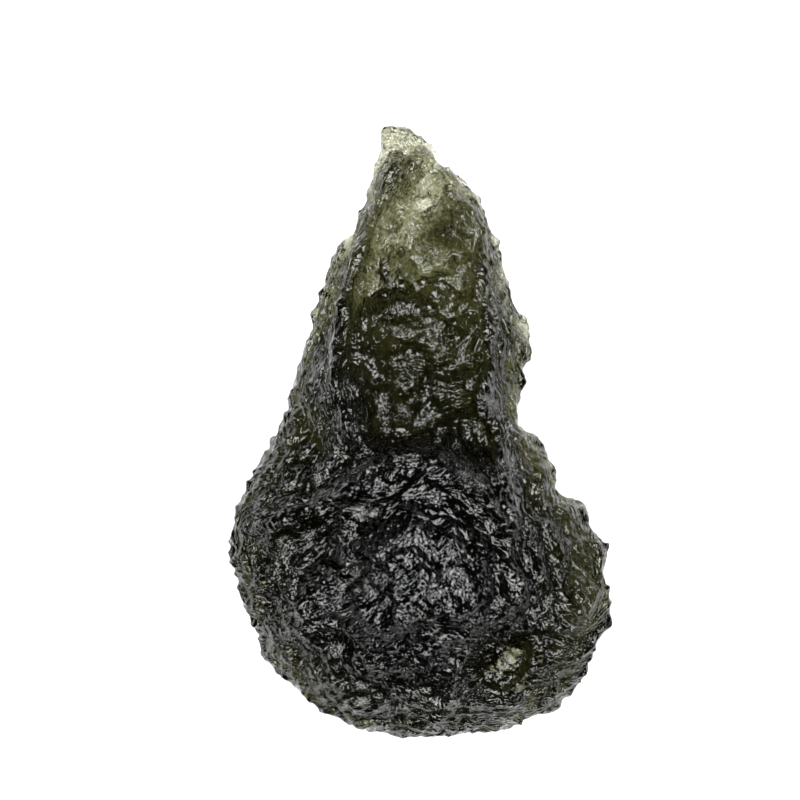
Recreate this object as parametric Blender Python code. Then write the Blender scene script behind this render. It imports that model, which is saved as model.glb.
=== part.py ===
"""A moldavite tektite: one pear-shaped piece of olive natural glass.

It lies on its back with the thin tip towards +Y and its sculpted face up. The origin is under its middle.
Places on it are (up, across) pairs: shares of LENGTH from its middle, towards the tip and to the right.
"""

import bmesh
import bpy
import numpy as np
from mathutils import Vector, noise

# Driving dimensions, in metres
LENGTH = 0.032
THICKNESS = 0.0094
REST_CUT = 0.00045

# The left and right edges of the stone, from the tip down, as (up, across)
LEFT_EDGE = (
    (0.500, -0.063), (0.474, -0.066), (0.431, -0.081), (0.389, -0.089), (0.353, -0.109), (0.327, -0.118),
    (0.284, -0.151), (0.222, -0.169), (0.170, -0.187), (0.105, -0.203), (0.026, -0.223), (-0.026, -0.249),
    (-0.065, -0.272), (-0.134, -0.305), (-0.196, -0.311), (-0.288, -0.293), (-0.340, -0.267),
    (-0.373, -0.259), (-0.431, -0.203), (-0.471, -0.140), (-0.488, -0.090), (-0.500, 0.000),
)
RIGHT_EDGE = (
    (0.500, -0.030), (0.474, 0.014), (0.444, 0.030), (0.418, 0.065), (0.366, 0.100), (0.301, 0.127),
    (0.222, 0.150), (0.157, 0.177), (0.131, 0.181), (0.078, 0.161), (0.026, 0.148), (0.000, 0.156),
    (-0.026, 0.199), (-0.065, 0.217), (-0.092, 0.213), (-0.110, 0.232), (-0.120, 0.268), (-0.136, 0.275),
    (-0.158, 0.266), (-0.196, 0.308), (-0.235, 0.298), (-0.261, 0.305), (-0.314, 0.300), (-0.345, 0.281),
    (-0.392, 0.266), (-0.444, 0.225), (-0.471, 0.172), (-0.490, 0.118), (-0.500, 0.030),
)

# The nubs and notches of an edge fade out within the stone's thickness, leaning and wandering a little
EDGE_SHARPNESS = 16
EDGE_LEAN = 0.02
EDGE_WANDER = 3.0
CALM_STEPS = (-0.06, -0.03, 0.0, 0.03, 0.06)

# Over this last share of the length, both ends keep the drawn outline and little etching
END_REACH = 0.12

# How the stone thickens from the tip down: up, then the rim's height, the rise in front of the rim and the
# drop behind it, as shares of THICKNESS
SPINE = (
    (0.500, 0.18, 0.02, 0.02),
    (0.470, 0.18, 0.03, 0.03),
    (0.410, 0.19, 0.07, 0.07),
    (0.330, 0.20, 0.12, 0.13),
    (0.240, 0.23, 0.18, 0.19),
    (0.120, 0.29, 0.26, 0.26),
    (0.000, 0.36, 0.32, 0.33),
    (-0.120, 0.42, 0.37, 0.40),
    (-0.250, 0.42, 0.38, 0.42),
    (-0.360, 0.41, 0.35, 0.38),
    (-0.430, 0.40, 0.28, 0.31),
    (-0.475, 0.39, 0.17, 0.20),
    (-0.500, 0.38, 0.05, 0.05),
)

# The cross section: how far out it stays full, and how blunt its face and its back are
SECTION_FULLNESS = 2.4
FACE_BLUNTNESS = 0.62
BACK_BLUNTNESS = 0.48

# Raised lines on the face: their route, half width and height
LEFT_CREST = (
    (0.441, -0.043), (0.327, -0.084), (0.261, -0.114), (0.163, -0.133), (0.082, -0.141), (-0.016, -0.117),
)
RIGHT_CREST = (
    (0.420, 0.040), (0.327, 0.100), (0.245, 0.092), (0.163, 0.112), (0.082, 0.107), (0.000, 0.120),
    (-0.082, 0.136), (-0.147, 0.145),
)
ARCH = (
    (-0.155, -0.272), (-0.140, -0.230), (-0.128, -0.185), (-0.095, -0.125), (-0.041, -0.060),
    (-0.033, -0.035), (-0.057, 0.030), (-0.101, 0.096), (-0.147, 0.128),
)
SPUR = ((0.123, 0.009), (0.074, 0.010), (0.030, 0.016))
CHIN = ((-0.400, -0.190), (-0.440, -0.090), (-0.452, 0.020), (-0.430, 0.110), (-0.385, 0.190))
RIDGES = (
    (LEFT_CREST, 0.00075, 0.00115),
    (RIGHT_CREST, 0.00080, 0.00105),
    (ARCH, 0.00065, 0.00090),
    (SPUR, 0.00040, 0.00040),
    (CHIN, 0.00070, 0.00040),
)
RIDGE_FALL = 1.5

# Round forms on the face: centre, reach up and across, and height, which is below zero for a hollow
LOWER_LOBE = ((-0.245, -0.010), (0.215, 0.210), 0.00240)
NECK_TROUGH = ((0.170, -0.012), (0.270, 0.095), -0.00070)
NECK_HOLLOWS = (
    ((0.455, 0.002), (0.035, 0.028), 0.00090),
    ((0.376, 0.014), (0.054, 0.074), -0.00070),
    ((0.305, 0.034), (0.022, 0.058), 0.00110),
    ((0.302, -0.035), (0.036, 0.042), -0.00040),
    ((0.270, 0.036), (0.032, 0.038), -0.00035),
    ((0.229, -0.076), (0.040, 0.030), -0.00040),
    ((0.229, 0.050), (0.026, 0.030), -0.00030),
    ((0.195, -0.025), (0.040, 0.078), 0.00060),
    ((0.131, -0.062), (0.034, 0.046), -0.00035),
    ((0.120, 0.060), (0.040, 0.034), -0.00035),
    ((0.060, -0.045), (0.034, 0.040), -0.00035),
    ((0.040, 0.062), (0.036, 0.036), -0.00035),
    ((0.004, -0.040), (0.036, 0.085), -0.00080),
)
FLANK_HOLLOWS = (
    ((-0.085, 0.172), (0.050, 0.034), -0.00060),
    ((-0.100, -0.215), (0.040, 0.050), -0.00040),
    ((-0.367, 0.128), (0.040, 0.052), -0.00150),
    ((-0.355, -0.158), (0.060, 0.060), -0.00035),
)
FACE_FORMS = (LOWER_LOBE, NECK_TROUGH) + NECK_HOLLOWS + FLANK_HOLLOWS

# Hollows in the back, which thin the glass where light comes through the face, and one lump that darkens it
BACK_HOLLOWS = (
    ((0.372, 0.052), (0.045, 0.048), -0.00060),
    ((0.417, -0.060), (0.035, 0.035), -0.00060),
    ((0.262, -0.085), (0.070, 0.050), -0.00055),
    ((0.150, 0.158), (0.055, 0.038), -0.00100),
    ((0.200, -0.020), (0.060, 0.070), 0.00050),
    ((-0.020, -0.130), (0.060, 0.050), -0.00080),
    ((-0.120, 0.160), (0.100, 0.060), -0.00100),
    ((-0.262, -0.248), (0.060, 0.040), -0.00070),
    ((-0.355, -0.158), (0.070, 0.075), -0.00080),
    ((-0.367, 0.128), (0.062, 0.064), -0.00430),
    ((-0.240, 0.205), (0.110, 0.075), -0.00100),
    ((0.020, 0.105), (0.120, 0.050), -0.00090),
)
FORM_SOFTNESS = 1.15
FORM_MARGIN = 2.2

# Slow wandering of the whole stone up and down, and of the drawn forms across it: size and reach
SWAY_SIZE = 0.0075
SWAY_REACH = 0.0007
DRIFT_SIZE = 0.0028
DRIFT_REACH = 0.00075

# The etched surface: each layer's cell size and depth, how much the cells bend, and how much of it the thin
# rim keeps
LUMP_SIZE = 0.0048
LUMP_DEPTH = 0.00045
SCALLOP_SIZE = 0.0023
SCALLOP_DEPTH = 0.00085
SCALLOP_BEND = 0.3
PIT_SIZE = 0.0013
PIT_DEPTH = 0.00034
RIM_ETCHING = 0.35

# Separate stretches of the noise for each use of it
SEED_STEP = 40.0
DRIFT_SEED, SWAY_SEED, LUMP_SEED, BEND_SEED, SCALLOP_SEED, PIT_SEED = range(1, 7)

# The ball that the stone starts from, and the share of its faces that the stone keeps
BALL_STEPS = 7
FACE_SHARE = 0.1145

GLASS_COLOUR = (0.16, 0.17, 0.085, 1.0)
GLASS_ROUGHNESS = 0.22
GLASS_IOR = 1.49


def through(points, at):
    """The smooth line through (place, value) points, read at each place; it never swings past its points."""
    places, values = (np.array(column) for column in zip(*sorted(points)))
    steps = np.diff(places)
    rises = np.diff(values) / steps
    slopes = np.zeros(len(places))
    product = rises[:-1] * rises[1:]
    same_way = product > 0
    slopes[1:-1][same_way] = 2 * product[same_way] / (rises[:-1] + rises[1:])[same_way]
    slopes[0] = rises[0]
    slopes[-1] = rises[-1]
    low = np.clip(np.searchsorted(places, at) - 1, 0, len(steps) - 1)
    share = np.clip((at - places[low]) / steps[low], 0, 1)
    bend = share * share * (3 - 2 * share)
    leave = share * (1 - share) ** 2 * slopes[low] * steps[low]
    arrive = share**2 * (share - 1) * slopes[low + 1] * steps[low]
    return values[low] + bend * (values[low + 1] - values[low]) + leave + arrive


def calmed(edge, up, ends):
    """An edge with its nubs and notches ironed out, apart from the stone's two ends."""
    calm = sum(through(edge, up + step) for step in CALM_STEPS) / len(CALM_STEPS)
    return through(edge, up) * (1 - ends) + calm * ends


def near_route(route, up, across):
    """Distance of each place to a route of (up, across) points, in metres."""
    nearest = np.full(len(up), np.inf)
    for (up_a, across_a), (up_b, across_b) in zip(route, route[1:]):
        run_up = up_b - up_a
        run_across = across_b - across_a
        along = (up - up_a) * run_up + (across - across_a) * run_across
        along = np.clip(along / (run_up**2 + run_across**2), 0, 1)
        off_up = up - up_a - along * run_up
        off_across = across - across_a - along * run_across
        nearest = np.minimum(nearest, np.hypot(off_up, off_across))
    return nearest * LENGTH


def raised_lines(up, across):
    """Height that the crests, the arch, the spur and the chin add to the face."""
    height = np.zeros(len(up))
    for route, half_width, rise in RIDGES:
        height += rise / (1 + (near_route(route, up, across) / half_width) ** 2) ** RIDGE_FALL
    return height


def round_forms(forms, up, across):
    """Height that bosses and hollows add, each round in plan and soft at its edge."""
    height = np.zeros(len(up))
    for (up_0, across_0), (reach_up, reach_across), rise in forms:
        out = ((up - up_0) / reach_up) ** 2 + ((across - across_0) / reach_across) ** 2
        height += rise * np.clip(1 - out, 0, 1) ** FORM_SOFTNESS
    return height


def soft_noise(points, size, seed):
    """Smooth noise at each point, as three numbers between about -1 and 1."""
    starts = [Vector((seed * SEED_STEP, 0, way * SEED_STEP)) for way in range(3)]
    places = [Vector(point) / size for point in points]
    return np.array([[noise.noise(start + place) for start in starts] for place in places])


def cells(points, size, seed):
    """Squared distance of each point to the middle of its cell: 0 in the middle, nearly 1 on the rims."""
    start = Vector((seed * SEED_STEP, 0, 0))
    return np.array([noise.voronoi(start + Vector(point) / size)[0][0] ** 2 for point in points])


def stone_form(ball):
    """The unit ball's points moved to the stone's main form, and how freely the etching may move each."""
    up = 0.5 * ball[:, 2]
    ring = np.maximum(np.hypot(ball[:, 0], ball[:, 1]), 1e-9)
    side = ball[:, 0] / ring
    lift = -ball[:, 1] / ring

    ends = np.clip((0.5 - np.abs(up)) / END_REACH, 0, 1)
    left = calmed(LEFT_EDGE, up, ends)
    right = calmed(RIGHT_EDGE, up, ends)
    across = (left + right) / 2 + (right - left) / 2 * side
    plan = np.column_stack((across, up, np.zeros(len(up)))) * LENGTH
    drift = soft_noise(plan, DRIFT_SIZE, DRIFT_SEED) * DRIFT_REACH / LENGTH
    leaning = up + lift * ends * (EDGE_LEAN + EDGE_WANDER * drift[:, 2])
    nubs = np.where(side < 0, through(LEFT_EDGE, leaning) - left, through(RIGHT_EDGE, leaning) - right)
    across += nubs * np.abs(side) ** EDGE_SHARPNESS

    rim, front, back = (
        through([(station[0], station[part]) for station in SPINE], up) * THICKNESS for part in (1, 2, 3)
    )
    inside = 1 - np.abs(side) ** SECTION_FULLNESS
    within = np.clip(inside * FORM_MARGIN, 0, 1)
    up_seen = up + drift[:, 0]
    across_seen = across + drift[:, 1]
    face = front * inside**FACE_BLUNTNESS
    face += within * (raised_lines(up_seen, across_seen) + round_forms(FACE_FORMS, up_seen, across_seen))
    behind = back * inside**BACK_BLUNTNESS + within * round_forms(BACK_HOLLOWS, up_seen, across_seen)
    sway = soft_noise(plan, SWAY_SIZE, SWAY_SEED)[:, 2] * SWAY_REACH
    height = rim + sway + np.where(lift > 0, np.maximum(face, 0), -np.maximum(behind, 0))
    freedom = np.clip(RIM_ETCHING + inside, 0, 1) * np.clip(5 * ends, 0, 1)
    return np.column_stack((across * LENGTH, up * LENGTH, height)), freedom


def etching(points):
    """How far the etched surface stands out: rolling lumps, then bowls with sharp rims in two sizes."""
    lumps = soft_noise(points, LUMP_SIZE, LUMP_SEED)[:, 0] * LUMP_DEPTH
    bent = points + soft_noise(points, SCALLOP_SIZE, BEND_SEED) * SCALLOP_SIZE * SCALLOP_BEND
    bowls = cells(bent, SCALLOP_SIZE, SCALLOP_SEED) * SCALLOP_DEPTH
    pits = cells(bent, PIT_SIZE, PIT_SEED) * PIT_DEPTH
    return lumps + bowls + pits - (SCALLOP_DEPTH + PIT_DEPTH) / 3


def stone_mesh():
    """The stone's mesh: a fine ball, formed, etched along its normals, and set over the origin."""
    fine = bmesh.new()
    bmesh.ops.create_icosphere(fine, subdivisions=BALL_STEPS, radius=1.0)
    ball = np.array([vertex.co for vertex in fine.verts])
    points, freedom = stone_form(ball)
    for vertex, point in zip(fine.verts, points):
        vertex.co = point
    fine.normal_update()
    outward = np.array([vertex.normal for vertex in fine.verts])
    points += outward * (etching(points) * freedom)[:, None]
    middle = (points.max(axis=0) + points.min(axis=0)) / 2
    points -= (middle[0], middle[1], points[:, 2].min() + REST_CUT)
    for vertex, point in zip(fine.verts, points):
        vertex.co = point
    mesh = bpy.data.meshes.new("tektite")
    fine.to_mesh(mesh)
    fine.free()
    return mesh


def glass():
    """Olive natural glass with a slightly dulled skin."""
    material = bpy.data.materials.new("moldavite_glass")
    material.use_nodes = True
    shader = material.node_tree.nodes["Principled BSDF"]
    shader.inputs["Base Color"].default_value = GLASS_COLOUR
    shader.inputs["Roughness"].default_value = GLASS_ROUGHNESS
    shader.inputs["Metallic"].default_value = 0.0
    shader.inputs["IOR"].default_value = GLASS_IOR
    return material


def add_stone(collection):
    """The stone itself, thinned to the faces that its forms need."""
    stone = bpy.data.objects.new("tektite", stone_mesh())
    stone.data.materials.append(glass())
    collection.objects.link(stone)
    thinning = stone.modifiers.new("fewer faces", "DECIMATE")
    thinning.ratio = FACE_SHARE
    return stone


def cut_rest(stone, cutters):
    """Flattens the lowest spots of the back, where the stone has worn level and rests."""
    bpy.ops.mesh.primitive_cube_add(size=1.0)
    ground = bpy.context.object
    ground.name = "rest_cutter"
    below = Vector((0, 0, -0.5))
    for vertex in ground.data.vertices:
        vertex.co = (vertex.co + below) * 2 * LENGTH
    for holder in list(ground.users_collection):
        holder.objects.unlink(ground)
    cutters.objects.link(ground)
    ground.hide_render = True
    ground.display_type = "WIRE"
    level = stone.modifiers.new("level rest", "BOOLEAN")
    level.operation = "DIFFERENCE"
    level.solver = "EXACT"
    level.object = ground


def new_collection(name):
    """A collection of that name in the scene."""
    collection = bpy.data.collections.new(name)
    bpy.context.scene.collection.children.link(collection)
    return collection


def main():
    for thing in list(bpy.data.objects):
        bpy.data.objects.remove(thing)
    stone = add_stone(new_collection("Moldavite tektite"))
    cut_rest(stone, new_collection("Cutters"))


main()
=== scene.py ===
"""A moldavite tektite lying on a light table, seen from straight above.

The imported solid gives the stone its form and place. This script grows the etched skin on a copy of it, and
gives it the clear olive glass, the table, the lights and the camera.
"""

from __future__ import annotations

import logging
import math
from dataclasses import dataclass, field
from enum import Enum

import bmesh
import bpy
import numpy as np
from mathutils import Euler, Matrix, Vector, noise
from mathutils.bvhtree import BVHTree


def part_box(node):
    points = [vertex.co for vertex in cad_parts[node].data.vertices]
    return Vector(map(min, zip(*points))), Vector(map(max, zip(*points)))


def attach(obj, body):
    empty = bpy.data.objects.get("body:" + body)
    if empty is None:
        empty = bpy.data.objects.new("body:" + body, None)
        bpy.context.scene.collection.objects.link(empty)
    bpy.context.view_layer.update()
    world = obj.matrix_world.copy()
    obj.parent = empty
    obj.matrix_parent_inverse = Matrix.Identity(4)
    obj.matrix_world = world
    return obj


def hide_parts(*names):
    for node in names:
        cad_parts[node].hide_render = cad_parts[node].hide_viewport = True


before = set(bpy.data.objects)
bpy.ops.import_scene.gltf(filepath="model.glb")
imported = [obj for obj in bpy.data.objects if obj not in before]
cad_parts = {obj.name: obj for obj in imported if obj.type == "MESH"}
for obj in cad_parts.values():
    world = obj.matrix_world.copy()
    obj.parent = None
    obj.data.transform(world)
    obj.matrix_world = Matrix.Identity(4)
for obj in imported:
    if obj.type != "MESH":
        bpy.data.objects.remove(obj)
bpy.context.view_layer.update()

MM = 0.001
MIX_SHARE, MIX_FIRST, MIX_SECOND, MIX_COLOUR = 0, 6, 7, 2

logging.basicConfig(level=logging.INFO, format="%(message)s")
log = logging.getLogger("moldavite")


class Relief(Enum):
    """The kinds of relief that etching leaves in this glass."""

    BOWLS = "bowls"
    FOLDS = "folds"


class Cover(Enum):
    """The parts of the stone that a layer of relief covers."""

    ALL = "all"
    WORN = "worn"


@dataclass(frozen=True)
class Flow:
    """How the stone's form runs, one value for each vertex.

    The contours of level, in metres, are the lines that strands follow. The others run from 0 to 1: how much
    a vertex is on a flank, on a crest, and in the stepped neck.
    """

    level: np.ndarray
    flank: np.ndarray
    crest: np.ndarray
    lamella: np.ndarray

    def worn(self) -> np.ndarray:
        """Returns how strongly the stone is worn into strands, from 0 to 1."""
        return np.clip(self.flank + self.crest, 0.0, 1.0)


@dataclass(frozen=True)
class ReliefLayer:
    """One layer of etched relief.

    Sizes are in metres. A squeeze above 1 packs the pattern closer along the stone's thickness, so that on
    the flanks its cells run along the outline. The means are taken off, so that a layer neither swells nor
    thins the stone.
    """

    kind: Relief
    size: float
    depth: float
    squeeze: float = 1.0
    bend: float = 0.3
    seed: int = 0
    cover: Cover = Cover.ALL
    seed_shift: float = 37.0
    bowl_mean: float = 0.3
    fold_mean: float = 0.36
    sway: float = 0.35

    def _places(self, points: np.ndarray) -> list[Vector]:
        """Returns the points as places in this layer's own noise, which its seed turns and shifts."""
        turn = np.array(Euler((0.5 * self.seed, 0.9, 0.7 * self.seed)).to_matrix())
        scale = np.array((1.0, 1.0, self.squeeze)) / self.size
        return [Vector(place) for place in (points * scale) @ turn + self.seed_shift * self.seed]

    def height(self, points: np.ndarray, flow: Flow) -> np.ndarray:
        """Works out how far this layer lifts the surface.

        Args:
            points: Places on the stone, one row each, in metres.
            flow: How the stone's form runs at these places.

        Returns:
            The lift at each place, in metres, about zero on average.
        """
        places = self._places(points)
        if self.kind is Relief.BOWLS:
            bent = [place + self.bend * _swirl(place) for place in places]
            lift = np.array([noise.voronoi(place)[0][0] for place in bent]) ** 2 - self.bowl_mean
        else:
            slow = np.array([noise.noise(place * self.sway) for place in places])
            quick = np.array([noise.noise(place) for place in places])
            phase = flow.level / self.size + self.bend * (slow + self.sway * quick)
            lift = (1.0 - np.abs(np.sin(math.pi * phase))) - self.fold_mean
        share = flow.worn() if self.cover is Cover.WORN else 1.0
        return self.depth * share * lift


def _swirl(place: Vector) -> Vector:
    """Returns a smooth shift at a place, for bending a pattern out of its straight cells."""
    apart = 19.0
    return Vector(noise.noise(place + Vector((0.0, 0.0, apart * way))) for way in (1, 2, 3))


@dataclass(frozen=True)
class Socket:
    """A value in a shader, on which arithmetic adds the Math nodes."""

    tree: bpy.types.NodeTree
    link: bpy.types.NodeSocket

    def _math(self, operation: str, *values: Socket | float) -> Socket:
        """Adds a Math node.

        Args:
            operation: The node's operation.
            *values: Its inputs in order.

        Returns:
            The node's value.
        """
        node = self.tree.nodes.new("ShaderNodeMath")
        node.operation = operation
        for slot, value in zip(node.inputs, values):
            if isinstance(value, Socket):
                self.tree.links.new(value.link, slot)
            else:
                slot.default_value = value
        return Socket(self.tree, node.outputs[0])

    def __add__(self, other: Socket | float) -> Socket:
        """Returns self + other."""
        return self._math("ADD", self, other)

    __radd__ = __add__

    def __sub__(self, other: Socket | float) -> Socket:
        """Returns self - other."""
        return self._math("SUBTRACT", self, other)

    def __rsub__(self, other: float) -> Socket:
        """Returns other - self."""
        return self._math("SUBTRACT", other, self)

    def __mul__(self, other: Socket | float) -> Socket:
        """Returns self * other."""
        return self._math("MULTIPLY", self, other)

    __rmul__ = __mul__

    def __pow__(self, other: float) -> Socket:
        """Returns self to a power."""
        return self._math("POWER", self, other)

    def sine(self) -> Socket:
        """Returns the sine of this value."""
        return self._math("SINE", self)

    def magnitude(self) -> Socket:
        """Returns this value without its sign."""
        return self._math("ABSOLUTE", self)

    def ramp(self, low: float, high: float) -> Socket:
        """Returns a smooth step, which is 0 where this value is low and 1 where it is high."""
        node = self.tree.nodes.new("ShaderNodeMapRange")
        node.interpolation_type = "SMOOTHSTEP"
        self.tree.links.new(self.link, node.inputs["Value"])
        node.inputs["From Min"].default_value = low
        node.inputs["From Max"].default_value = high
        return Socket(self.tree, node.outputs["Result"])


class ShaderBoard:
    """A material's node tree, with one way to add any node to it."""

    def __init__(self, name: str) -> None:
        """Starts a material with an empty node tree.

        Args:
            name: The material's name.
        """
        self.material = bpy.data.materials.new(name)
        self.material.use_nodes = True
        self.tree = self.material.node_tree
        self.tree.nodes.clear()

    def add(self, kind: str, inputs: dict | None = None, output: str | int = 0, **settings: object) -> Socket:
        """Adds one node.

        Args:
            kind: The node's type.
            inputs: Values or Sockets for the node's inputs, by name or number.
            output: The output that the result reads.
            **settings: The node's own settings, which are set first.

        Returns:
            The node's output.
        """
        node = self.tree.nodes.new(kind)
        for name, value in settings.items():
            setattr(node, name, value)
        for name, value in (inputs or {}).items():
            if isinstance(value, Socket):
                self.tree.links.new(value.link, node.inputs[name])
            else:
                node.inputs[name].default_value = value
        return Socket(self.tree, node.outputs[output])

    def attribute(self, name: str) -> Socket:
        """Returns one of the mesh's own values by name."""
        return self.add("ShaderNodeAttribute", output="Fac", attribute_name=name)

    def noise(self, place: Socket, size: float, detail: float) -> Socket:
        """Returns smooth noise about 0.5.

        Args:
            place: Where the noise is read.
            size: The size of its soft spots, in the units of the place.
            detail: How many finer layers it has.

        Returns:
            The noise.
        """
        return self.add("ShaderNodeTexNoise", {"Vector": place, "Scale": 1 / size, "Detail": detail})

    def joined(self, x: Socket, y: Socket, z: Socket) -> Socket:
        """Returns a place made of three numbers."""
        return self.add("ShaderNodeCombineXYZ", {"X": x, "Y": y, "Z": z})

    def shaken(self, place: Socket, size: float, reach: float) -> Socket:
        """Bends a place by noise.

        Args:
            place: The place.
            size: The size of the bends.
            reach: How far a place moves.

        Returns:
            The bent place.
        """
        inputs = {"Vector": place, "Scale": 1 / size, "Detail": 0.0}
        noise_colour = self.add("ShaderNodeTexNoise", inputs, output="Color")
        shift = self.add(
            "ShaderNodeVectorMath", {0: noise_colour, 1: (0.5, 0.5, 0.5)}, operation="SUBTRACT"
        )
        return self.add(
            "ShaderNodeVectorMath",
            {0: shift, 1: (reach, reach, reach), 2: place},
            operation="MULTIPLY_ADD",
        )

    def mixed(
        self, share: Socket, first: tuple[float, float, float], second: tuple[float, float, float]
    ) -> Socket:
        """Mixes two colours.

        Args:
            share: How much of the second colour shows.
            first: The colour where the share is 0.
            second: The colour where the share is 1.

        Returns:
            The mixed colour.
        """
        inputs = {MIX_SHARE: share, MIX_FIRST: (*first, 1.0), MIX_SECOND: (*second, 1.0)}
        return self.add("ShaderNodeMix", inputs, output=MIX_COLOUR, data_type="RGBA")

    def cells(self, place: Socket, size: float) -> Socket:
        """Returns the distance to the middle of the nearest cell, in cell sizes."""
        return self.add("ShaderNodeTexVoronoi", {"Vector": place, "Scale": 1 / size}, output="Distance")

    def finish(self, surface: Socket, volume: Socket | None = None) -> bpy.types.Material:
        """Joins the shaders to the output.

        Args:
            surface: The surface shader.
            volume: The volume shader, if it has one.

        Returns:
            The finished material.
        """
        output = self.tree.nodes.new("ShaderNodeOutputMaterial")
        self.tree.links.new(surface.link, output.inputs["Surface"])
        if volume is not None:
            self.tree.links.new(volume.link, output.inputs["Volume"])
        return self.material


@dataclass(frozen=True)
class Strands:
    """One kind of fine line that runs along the stone's flow.

    The width from line to line and the height are in metres. The seed shifts the gaps in the lines, and the
    share says how much the lines count in the frosting.
    """

    width: float
    height: float
    seed: float
    share: float


@dataclass(frozen=True)
class Sway:
    """A soft shift of a pattern: its size and reach in metres, and how many finer layers it has."""

    size: float
    reach: float
    detail: float = 0.0

    def shift(self, board: ShaderBoard, place: Socket) -> Socket:
        """Returns how far the pattern is shifted at a place, in metres."""
        return board.noise(place, self.size, self.detail) * self.reach


@dataclass(frozen=True)
class Cells:
    """A pattern of small bowls: the distance from one to the next and their depth, in metres."""

    size: float
    depth: float


@dataclass(frozen=True)
class MoldaviteGlass:
    """Clear olive natural glass: glossy where etching opened fresh bowls, frosted along its worn strands.

    Sizes are in metres. A pair of numbers says where a pattern begins to show and where it shows in full.
    """

    name: str = "moldavite_glass"
    ior: float = 1.49
    tint: tuple[float, float, float] = (0.95, 0.96, 0.87)
    absorbed: tuple[float, float, float] = (0.34, 0.335, 0.125)
    density: float = 1600.0
    gloss: float = 0.04
    frost: float = 0.12
    frosting: tuple[float, float] = (0.20, 0.55)
    frosting_worn: float = 1.1
    frosting_fresh: float = 0.15
    pattern_turn: tuple[float, float, float] = (0.7, 0.5, 0.9)
    patch_size: float = 0.9 * MM
    patch_reach: float = 0.6
    coarse: Strands = Strands(width=0.30 * MM, height=0.060 * MM, seed=0.0, share=0.65)
    hairs: Strands = Strands(width=0.19 * MM, height=0.030 * MM, seed=7.3, share=0.45)
    hairs_fresh: float = 0.35
    slant: float = 1.2
    strand_length: float = 2.4 * MM
    strand_gaps: tuple[float, float] = (0.36, 0.60)
    gap_run: float = 0.5
    strand_sways: tuple[Sway, Sway] = (Sway(1.6 * MM, 1.8 * MM, 1.0), Sway(0.40 * MM, 0.40 * MM))
    lamella_width: float = 0.27 * MM
    lamella_height: float = 0.050 * MM
    lamella_bend_size: float = 1.1 * MM
    lamella_bend: float = 12.0
    lamella_gap_size: float = 0.8 * MM
    lamella_gaps: tuple[float, float] = (0.40, 0.60)
    dents: Cells = Cells(size=0.40 * MM, depth=0.045 * MM)
    facets: Cells = Cells(size=0.18 * MM, depth=0.042 * MM)
    upright: float = 0.45
    shake_size: float = 0.30 * MM
    shake_reach: float = 0.14 * MM
    # Painted shade: a net of near-black lines in the base colour, along the raised facet borders and strand
    # crests and stronger in patches. It stands in for the dark lines that refraction and reflection make in
    # the glass, and is not dirt.
    painted_shade: float = 0.95
    painted_shade_tint: tuple[float, float, float] = (0.08, 0.08, 0.07)
    shade_facet_borders: tuple[float, float] = (0.12, 0.45)
    shade_facet_share: float = 0.7
    shade_hair_crests: tuple[float, float] = (0.4, 1.0)
    shade_hair_share: float = 0.5
    shade_patches: tuple[float, float] = (0.40, 0.60)
    shade_least: float = 0.3

    def _lines(self, board: ShaderBoard, place: Socket, drift: Socket, kind: Strands) -> Socket:
        """Draws one kind of strand along the stone's flow.

        Args:
            board: The material's board.
            place: The place on the stone.
            drift: How far the strands wander across the flow, in metres.
            kind: The kind of strand.

        Returns:
            A value that is 1 on a strand's crest and falls to 0 between strands.
        """
        level = board.attribute("level")
        phase = (level * math.pi + drift) * (1 / kind.width)
        lines = 1.0 - phase.sine().magnitude()
        stretch = 1 / self.strand_length
        x = board.add("ShaderNodeSeparateXYZ", {0: place}, output="X") * stretch + kind.seed
        y = board.add("ShaderNodeSeparateXYZ", {0: place}, output="Y") * stretch
        across = level * (self.gap_run / kind.width)
        gaps = board.noise(board.joined(x, y, across), 1.0, 0.0)
        return lines * gaps.ramp(*self.strand_gaps)

    def _lamellae(self, board: ShaderBoard, place: Socket) -> Socket:
        """Draws the level steps that cross the neck.

        Args:
            board: The material's board.
            place: The place on the stone.

        Returns:
            A value that is 1 on a step's edge and falls to 0 between steps.
        """
        bend = board.noise(place, self.lamella_bend_size, 1.0) * self.lamella_bend
        phase = board.attribute("up") * (math.pi / self.lamella_width) + bend
        gaps = board.noise(place, self.lamella_gap_size, 0.0).ramp(*self.lamella_gaps)
        return (1.0 - phase.sine().magnitude()) * gaps * board.attribute("lamella")

    def _bowls(self, board: ShaderBoard) -> tuple[Socket, Socket]:
        """Draws the two kinds of small bowl, which are longer up the stone's thickness than across.

        Args:
            board: The material's board.

        Returns:
            The dents and the facets, each rising from 0 in its middle.
        """
        place = board.add("ShaderNodeTexCoord", output="Object")
        inputs = {0: place, 1: (1.0, 1.0, self.upright)}
        tall = board.add("ShaderNodeVectorMath", inputs, operation="MULTIPLY")
        bent = board.shaken(tall, self.shake_size, self.shake_reach)
        return board.cells(bent, self.dents.size) ** 2, board.cells(bent, self.facets.size) ** 2

    def material(self) -> bpy.types.Material:
        """Returns the glass as a material."""
        board = ShaderBoard(self.name)
        place = board.add(
            "ShaderNodeVectorRotate",
            {"Vector": board.add("ShaderNodeTexCoord", output="Object"), "Rotation": self.pattern_turn},
            rotation_type="EULER_XYZ",
        )
        slow, quick = (sway.shift(board, place) for sway in self.strand_sways)
        drift = slow + quick
        strands = self._lines(board, place, drift, self.coarse)
        hairs = self._lines(board, place, drift, self.hairs)
        dents, facets = self._bowls(board)
        patches = board.noise(place, self.patch_size, 1.0)
        worn = (board.attribute("wear") + (patches - 0.5) * self.patch_reach).ramp(0.0, 1.0)
        slant = board.attribute("flank") * self.slant + 1.0

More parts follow.
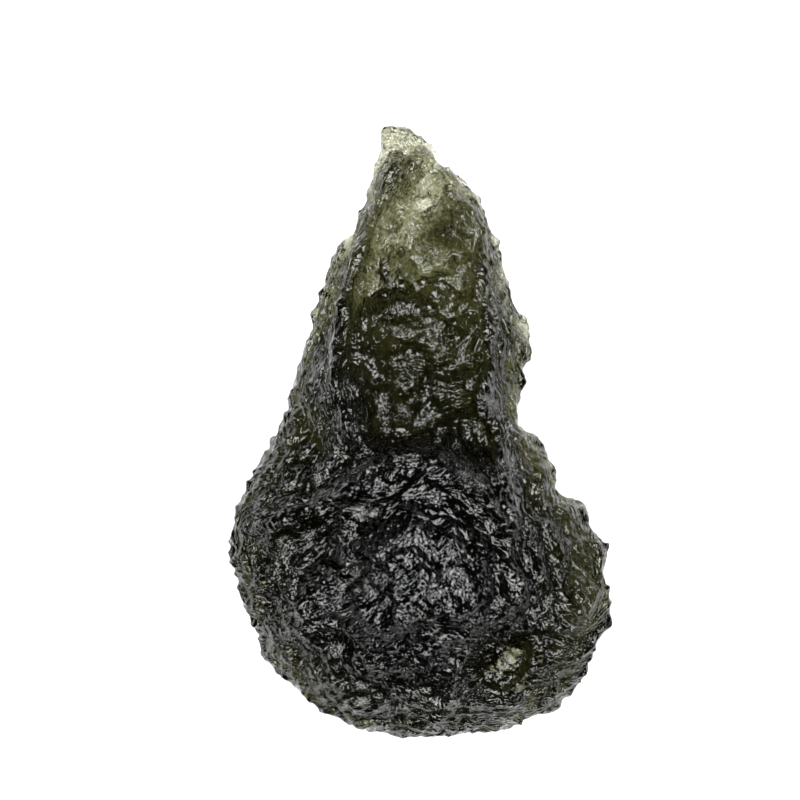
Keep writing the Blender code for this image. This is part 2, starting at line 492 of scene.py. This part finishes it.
        lines = strands * self.coarse.share + hairs * self.hairs.share
        frost = (lines * (worn * self.frosting_worn + self.frosting_fresh)).ramp(*self.frosting)
        relief = (
            dents * self.dents.depth
            + facets * self.facets.depth
            + hairs * (worn * slant + self.hairs_fresh) * self.hairs.height
            + strands * worn * slant * self.coarse.height
            + self._lamellae(board, place) * self.lamella_height
        )
        # Painted shade: the dark net that darkens the base colour on the raised borders of the facets and the
        # crests of the hairs, in patches.
        facet_shade_net = facets.ramp(*self.shade_facet_borders) * self.shade_facet_share
        hair_shade_net = hairs.ramp(*self.shade_hair_crests) * self.shade_hair_share
        shade_spread = patches.ramp(*self.shade_patches) * (1.0 - self.shade_least) + self.shade_least
        painted_shade = (facet_shade_net + hair_shade_net) * shade_spread * self.painted_shade

        surface = board.add(
            "ShaderNodeBsdfPrincipled",
            {
                # The base colour mixes the glass tint with the painted shade net.
                "Base Color": board.mixed(painted_shade, self.tint, self.painted_shade_tint),
                "Roughness": frost * (self.frost - self.gloss) + self.gloss,
                "IOR": self.ior,
                "Transmission Weight": 1.0,
                "Normal": board.add("ShaderNodeBump", {"Strength": 1.0, "Distance": 1.0, "Height": relief}),
            },
        )
        volume = board.add(
            "ShaderNodeVolumeAbsorption", {"Color": (*self.absorbed, 1.0), "Density": self.density}
        )
        return board.finish(surface, volume)


@dataclass(frozen=True)
class Crest:
    """A raised line on the stone's face, through places given as shares of the length up and across."""

    places: tuple[tuple[float, float], ...]

    def distance(self, points: np.ndarray, length: float) -> np.ndarray:
        """Measures how far places are from the crest, seen from above.

        Args:
            points: Places on the stone, one row each, in metres.
            length: The stone's length in metres.

        Returns:
            The distances in metres.
        """
        line = np.array(self.places)[:, ::-1] * length
        nearest = np.full(len(points), np.inf)
        for start, end in zip(line, line[1:]):
            run = end - start
            share = np.clip((points[:, :2] - start) @ run / (run @ run), 0.0, 1.0)
            away = points[:, :2] - start - share[:, None] * run
            nearest = np.minimum(nearest, np.hypot(away[:, 0], away[:, 1]))
        return nearest


LEFT_CREST = Crest(
    ((0.441, -0.043), (0.327, -0.084), (0.261, -0.114), (0.163, -0.133), (0.082, -0.141), (-0.016, -0.117))
)
RIGHT_CREST = Crest(
    (
        (0.420, 0.040),
        (0.327, 0.100),
        (0.245, 0.092),
        (0.163, 0.112),
        (0.082, 0.107),
        (0.000, 0.120),
        (-0.147, 0.145),
    )
)
ARCH = Crest(
    (
        (-0.155, -0.272),
        (-0.128, -0.185),
        (-0.095, -0.125),
        (-0.041, -0.060),
        (-0.033, -0.035),
        (-0.057, 0.030),
        (-0.101, 0.096),
        (-0.147, 0.128),
    )
)


@dataclass
class EtchedStone:
    """The stone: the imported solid's form with the fine etched skin that its glass shows up close.

    Sizes are in metres, and the neck's place and size are shares of the length. A fade says how quickly a
    value changes with the slope of the surface, or towards the rim of the neck.
    """

    node: str = "tektite"
    slot: str = "moldavite_glass"
    length: float = 32.0 * MM
    weld: float = 0.001 * MM
    longest_edge: float = 0.19 * MM
    cutting_rounds: int = 3
    smoothing_rounds: int = 3
    wear_rounds: int = 24
    wear_scale: float = 0.12 * MM
    wear_on_ridges: float = 0.30
    wear_on_strands: float = 0.90
    crests: tuple[Crest, ...] = (LEFT_CREST, RIGHT_CREST, ARCH)
    crest_reach: float = 0.8 * MM
    crest_width: float = 0.30 * MM
    crest_height: float = 0.22 * MM
    level_fall: float = 0.15
    face_fade: float = 3.0
    flank_start: float = 1.3
    flank_fade: float = 1.5
    neck_up: float = 0.05
    neck_half_height: float = 0.11
    neck_half_width: float = 0.14
    neck_fade: float = 1.6
    full_relief: float = 1.5 * MM
    thin_relief: float = 0.25
    least_thickness: float = 0.85 * MM
    lying_start: float = 1.6
    lying_fade: float = 4.0
    probe_start: float = 0.01 * MM
    probe_evening: tuple[int, int] = (8, 2)
    layers: tuple[ReliefLayer, ...] = (
        ReliefLayer(Relief.BOWLS, 1.00 * MM, 0.38 * MM, squeeze=1.3, bend=0.35, seed=3),
        ReliefLayer(Relief.BOWLS, 0.60 * MM, 0.20 * MM, squeeze=1.2, bend=0.40, seed=5),
        ReliefLayer(Relief.FOLDS, 0.55 * MM, 0.10 * MM, bend=0.8, seed=7, cover=Cover.WORN),
    )
    glass: MoldaviteGlass = field(default_factory=MoldaviteGlass)

    def _fine_skin(self) -> bmesh.types.BMesh:
        """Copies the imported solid, joins its loose triangles, rounds them off and cuts them fine.

        Returns:
            The fine mesh.
        """
        loose = bmesh.new()
        loose.from_mesh(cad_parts[self.node].data)
        bmesh.ops.remove_doubles(loose, verts=loose.verts, dist=self.weld)
        coarse = bpy.data.meshes.new("coarse_tektite")
        loose.to_mesh(coarse)
        loose.free()
        draft = bpy.data.objects.new("coarse_tektite", coarse)
        bpy.context.scene.collection.objects.link(draft)
        rounding = draft.modifiers.new("round facets", "SUBSURF")
        rounding.levels = rounding.render_levels = 1
        bpy.context.view_layer.update()
        rounded = draft.evaluated_get(bpy.context.evaluated_depsgraph_get()).to_mesh()
        skin = bmesh.new()
        skin.from_mesh(rounded)
        bpy.data.objects.remove(draft)
        bpy.data.meshes.remove(coarse)
        bmesh.ops.triangulate(skin, faces=skin.faces, quad_method="SHORT_EDGE")
        for _ in range(self.cutting_rounds):
            long = [edge for edge in skin.edges if edge.calc_length() > self.longest_edge]
            bmesh.ops.subdivide_edges(skin, edges=long, cuts=1)
            wide = [face for face in skin.faces if len(face.verts) > 3]
            bmesh.ops.triangulate(skin, faces=wide, quad_method="SHORT_EDGE")
        return skin

    def _flow(self, points: np.ndarray, outward: np.ndarray) -> Flow:
        """Finds how the stone's form runs.

        Args:
            points: The places of the smooth skin's vertices.
            outward: Their normals.

        Returns:
            The flow at each vertex.
        """
        away = self._from_crest(points)
        on_face = self._on_face(outward)
        up, across = points[:, 1] / self.length, points[:, 0] / self.length
        along_neck = (up - self.neck_up) / self.neck_half_height
        out_of_neck = along_neck ** 2 + (across / self.neck_half_width) ** 2
        return Flow(
            level=self.level_fall * points[:, 2] - away,
            flank=np.clip(self.flank_start - self.flank_fade * np.abs(outward[:, 2]), 0.0, 1.0),
            crest=on_face / (1.0 + (away / self.crest_reach) ** 2) ** 2,
            lamella=np.clip(self.neck_fade * (1.0 - out_of_neck), 0.0, 1.0) * on_face,
        )

    def _on_face(self, outward: np.ndarray) -> np.ndarray:
        """Returns 1 where normals look up, and a fall to 0 where they look sideways or down."""
        return np.clip(outward[:, 2] * self.face_fade, 0.0, 1.0)

    def _from_crest(self, points: np.ndarray) -> np.ndarray:
        """Returns how far points are from the nearest crest, seen from above."""
        return np.min([crest.distance(points, self.length) for crest in self.crests], axis=0)

    def _etch(self, skin: bmesh.types.BMesh) -> Flow:
        """Smooths the skin, then raises and sinks it by the crests and each layer of relief.

        Args:
            skin: The fine mesh.

        Returns:
            The flow that the relief followed.
        """
        for _ in range(self.smoothing_rounds):
            bmesh.ops.smooth_vert(
                skin, verts=skin.verts, factor=0.5, use_axis_x=True, use_axis_y=True, use_axis_z=True
            )
        skin.normal_update()
        points = np.array([vertex.co for vertex in skin.verts])
        outward = np.array([vertex.normal for vertex in skin.verts])
        flow = self._flow(points, outward)
        edge = 1.0 + (self._from_crest(points) / self.crest_width) ** 2
        lift = sum(layer.height(points, flow) for layer in self.layers)
        lift += self.crest_height * self._on_face(outward) / edge
        through = self._thickness(skin)
        lift *= np.clip(through / self.full_relief, self.thin_relief, 1.0)
        # The face and the back each add half of what a thin place lacks.
        lying = np.clip(self.lying_fade * np.abs(outward[:, 2]) - self.lying_start, 0.0, 1.0)
        lift += 0.5 * lying * np.clip(self.least_thickness - through, 0.0, None)
        points += outward * lift[:, None]
        # Nothing sinks below the plane that the stone lies on.
        points[:, 2] = np.maximum(points[:, 2], 0.0)
        for vertex, point in zip(skin.verts, points):
            vertex.co = point
        skin.normal_update()
        return flow

    def _thickness(self, skin: bmesh.types.BMesh) -> np.ndarray:
        """Measures how much glass lies under each vertex, straight in from the surface.

        Args:
            skin: The fine mesh.

        Returns:
            The thicknesses in metres, evened out between neighbours, but least at the thinnest places.
        """
        solid = BVHTree.FromBMesh(skin)
        through = np.empty(len(skin.verts))
        for index, vertex in enumerate(skin.verts):
            inward = -vertex.normal
            found = solid.ray_cast(vertex.co + self.probe_start * inward, inward)[3]
            through[index] = self.full_relief if found is None else found
        ends = self._ends(skin)
        through = np.minimum(through, 2.0 * self.full_relief)
        wide, narrow = self.probe_evening
        even = self._evened(through[:, None], ends, wide)[:, 0]
        return self._evened(np.minimum(through, even)[:, None], ends, narrow)[:, 0]

    def _ends(self, skin: bmesh.types.BMesh) -> np.ndarray:
        """Returns the numbers of each edge's two vertices, one row for each edge."""
        return np.array([[vertex.index for vertex in edge.verts] for edge in skin.edges])

    def _evened(self, values: np.ndarray, ends: np.ndarray, rounds: int) -> np.ndarray:
        """Evens out values between neighbouring vertices.

        Args:
            values: One row for each vertex.
            ends: The numbers of each edge's two vertices.
            rounds: How many times each value becomes its neighbours' mean.

        Returns:
            The evened values.
        """
        here, there = np.concatenate((ends, ends[:, ::-1])).T
        count = np.bincount(here, minlength=len(values))
        for _ in range(rounds):
            values = np.column_stack(
                [np.bincount(here, weights=part[there], minlength=len(values)) / count for part in values.T]
            )
        return values

    def _proud(self, skin: bmesh.types.BMesh) -> np.ndarray:
        """Measures how far each vertex stands out from the smoothed skin.

        Args:
            skin: The etched mesh.

        Returns:
            The heights in units of the wear scale, above zero on ridges and below zero in bowls.
        """
        points = np.array([vertex.co for vertex in skin.verts])
        outward = np.array([vertex.normal for vertex in skin.verts])
        smooth = self._evened(points, self._ends(skin), self.wear_rounds)
        return np.einsum("ij,ij->i", points - smooth, outward) / self.wear_scale

    def build(self) -> bpy.types.Object:
        """Builds the etched stone and dresses it in its glass.

        Returns:
            The finished piece.
        """
        skin = self._fine_skin()
        skin.verts.index_update()
        flow = self._etch(skin)
        skin.verts.index_update()
        worn = self.wear_on_ridges * self._proud(skin) + self.wear_on_strands * flow.worn()
        wear = np.clip(worn, 0.0, 1.0)
        fine = bpy.data.meshes.new("etched_tektite")
        skin.to_mesh(fine)
        skin.free()
        up = np.array([vertex.co.y for vertex in fine.vertices])
        values = {"wear": wear, "level": flow.level, "flank": flow.flank, "lamella": flow.lamella, "up": up}
        for name, value in values.items():
            attribute = fine.attributes.new(name, "FLOAT", "POINT")
            attribute.data.foreach_set("value", value.astype(np.float32))
            log.info("%s: %.4f to %.4f, mean %.4f", name, value.min(), value.max(), value.mean())
        fine.shade_smooth()
        fine.materials.append(self.glass.material())
        stone = bpy.data.objects.new("etched_tektite", fine)
        bpy.context.scene.collection.objects.link(stone)
        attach(stone, "root")
        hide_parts(self.node)
        fine.calc_loop_triangles()
        log.info("stone: %d triangles", len(fine.loop_triangles))
        return stone


@dataclass(frozen=True)
class Lamp:
    """One square lamp that faces the stone.

    The azimuth is its direction round the stone in degrees, clockwise from the tip's side, and the elevation
    its height above the table in degrees. The width is its side in metres. The radiance is how bright its
    face is, where the table's glow is about 1.
    """

    azimuth: float
    elevation: float
    width: float
    radiance: float

    def build(self, distance: float) -> None:
        """Adds the lamp at a distance from the stone, in metres."""
        light = bpy.data.lights.new("lamp", "AREA")
        light.shape = "SQUARE"
        light.size = self.width
        light.energy = self.radiance * math.pi * self.width * self.width
        lamp = bpy.data.objects.new("lamp", light)
        round_, up = math.radians(self.azimuth), math.radians(self.elevation)
        way = Vector((math.sin(round_) * math.cos(up), math.cos(round_) * math.cos(up), math.sin(up)))
        lamp.location = way * distance
        lamp.rotation_euler = way.to_track_quat("Z", "Y").to_euler()
        bpy.context.scene.collection.objects.link(lamp)


@dataclass
class LightTable:
    """The pale table that the stone lies on, the soft lamps around it and the dim room above.

    Lengths are in metres. The panel is the round part of the table that glows, and fades out over its edge.
    """

    half_width: float = 0.6
    tone: tuple[float, float, float, float] = (0.15, 0.15, 0.15, 1.0)
    roughness: float = 0.8
    panel: float = 0.031
    panel_edge: float = 0.030
    glow: float = 1.45
    dimness: float = 0.035
    lamps: tuple[Lamp, ...] = (
        Lamp(azimuth=10.0, elevation=76.0, width=0.30, radiance=12.0),
        Lamp(azimuth=125.0, elevation=46.0, width=0.22, radiance=8.0),
        Lamp(azimuth=245.0, elevation=50.0, width=0.22, radiance=8.0),
    )
    lamp_distance: float = 0.45

    def _finish(self) -> bpy.types.Material:
        """Returns the table's white, which glows in the panel under the stone."""
        board = ShaderBoard("table_white")
        place = board.add("ShaderNodeTexCoord", output="Object")
        away = board.add("ShaderNodeVectorMath", {0: place}, output="Value", operation="LENGTH")
        panel = away.ramp(self.panel + self.panel_edge, self.panel)
        white = board.add(
            "ShaderNodeBsdfPrincipled",
            {
                "Base Color": self.tone,
                "Roughness": self.roughness,
                "Specular IOR Level": 0.0,
                "Emission Color": board.add("ShaderNodeCombineColor", {0: panel, 1: panel, 2: panel}),
                "Emission Strength": self.glow,
            },
        )
        return board.finish(white)

    def _table(self) -> None:
        """Adds the table's top."""
        top = bmesh.new()
        bmesh.ops.create_grid(top, x_segments=2, y_segments=2, size=self.half_width)
        mesh = bpy.data.meshes.new("table")
        top.to_mesh(mesh)
        top.free()
        mesh.materials.append(self._finish())
        table = bpy.data.objects.new("table", mesh)
        bpy.context.scene.collection.objects.link(table)

    def _room(self) -> None:
        """Sets the dim light of the room around the table."""
        world = bpy.data.worlds.new("room")
        bpy.context.scene.world = world
        world.use_nodes = True
        world.node_tree.nodes["Background"].inputs["Color"].default_value = (*[self.dimness] * 3, 1.0)

    def build(self) -> None:
        """Builds the table, the room and the lamps."""
        self._table()
        self._room()
        for lamp in self.lamps:
            lamp.build(self.lamp_distance)
        log.info("table with %d lamps", len(self.lamps))


@dataclass
class OverheadCamera:
    """The camera straight above the stone, framed as the photograph is."""

    picture_pixels: float = 800.0
    stone_pixels: float = 612.0
    stone_middle: tuple[float, float] = (421.5, 430.0)
    lens: float = 180.0
    sensor: float = 36.0
    rim_height: float = 4.0 * MM

    def build(self) -> bpy.types.Object:
        """Adds the camera.

        Returns:
            The scene's camera.
        """
        low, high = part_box("tektite")
        pixel = (high.y - low.y) / self.stone_pixels
        distance = pixel * self.picture_pixels * self.lens / self.sensor
        data = bpy.data.cameras.new("camera")
        data.lens = self.lens
        data.sensor_width = self.sensor
        data.clip_start = 1.0 * MM
        data.dof.use_dof = False
        camera = bpy.data.objects.new("camera", data)
        half = self.picture_pixels / 2
        across = (half - self.stone_middle[0]) * pixel
        along = (self.stone_middle[1] - half) * pixel
        camera.location = (across, along, self.rim_height + distance)
        bpy.context.scene.collection.objects.link(camera)
        bpy.context.scene.camera = camera
        log.info("camera %.0f mm above the table", camera.location.z / MM)
        return camera


def main() -> None:
    """Builds the camera, the stone and its table in order."""
    bpy.context.scene.view_settings.view_transform = "Standard"
    OverheadCamera().build()
    EtchedStone().build()
    LightTable().build()


if __name__ == "__main__":
    main()
